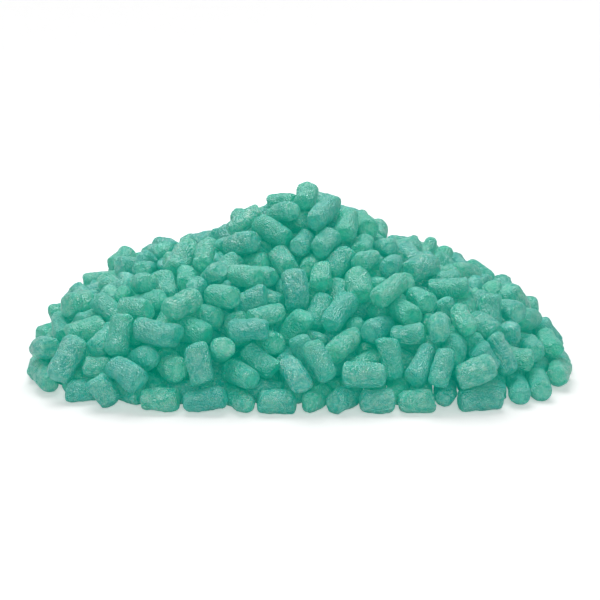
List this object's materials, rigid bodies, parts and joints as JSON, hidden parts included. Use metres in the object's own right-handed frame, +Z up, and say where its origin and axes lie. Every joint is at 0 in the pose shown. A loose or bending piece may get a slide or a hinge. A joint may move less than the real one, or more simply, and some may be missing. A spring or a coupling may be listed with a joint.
{
  "type": "heap of packing peanuts",
  "caption": "Bagful of loose-fill packing peanuts tipped out in a low heap: short extruded foam cylinders that fill the space round goods in a box.",
  "frame": {"origin": "on the floor under the middle of the heap", "axes": "+X along the heap's long side, +Y towards its back, +Z up"},
  "size_m": [0.3865, 0.3038, 0.1258],
  "materials": {
    "foam": "expanded starch foam, mint green, fine open cells that catch the light, cut ends smoother and paler"
  },
  "bodies": {
    "root": {"heap_fill": "foam", "peanut_01": "foam", "peanut_02": "foam", "peanut_03": "foam", "peanut_04": "foam", "peanut_05": "foam", "peanut_06": "foam", "peanut_07": "foam", "peanut_08": "foam", "peanut_09": "foam", "peanut_10": "foam", "peanut_11": "foam", "peanut_12": "foam", "peanut_13": "foam", "peanut_14": "foam", "peanut_15": "foam", "peanut_16": "foam", "peanut_17": "foam", "peanut_18": "foam", "peanut_19": "foam", "peanut_20": "foam", "peanut_21": "foam", "peanut_22": "foam", "peanut_23": "foam", "peanut_24": "foam", "peanut_25": "foam", "peanut_26": "foam", "peanut_27": "foam", "peanut_28": "foam", "peanut_29": "foam", "peanut_30": "foam", "peanut_31": "foam", "peanut_32": "foam", "peanut_33": "foam", "peanut_34": "foam", "peanut_35": "foam", "peanut_36": "foam", "peanut_37": "foam", "peanut_38": "foam", "peanut_39": "foam", "peanut_40": "foam", "peanut_41": "foam", "peanut_42": "foam", "peanut_43": "foam", "peanut_44": "foam", "peanut_45": "foam", "peanut_46": "foam", "peanut_47": "foam", "peanut_48": "foam", "peanut_49": "foam", "peanut_50": "foam", "peanut_51": "foam", "peanut_52": "foam", "peanut_53": "foam", "peanut_54": "foam", "peanut_55": "foam", "peanut_56": "foam", "peanut_57": "foam", "peanut_58": "foam", "peanut_59": "foam"}
  },
  "joints": []
}
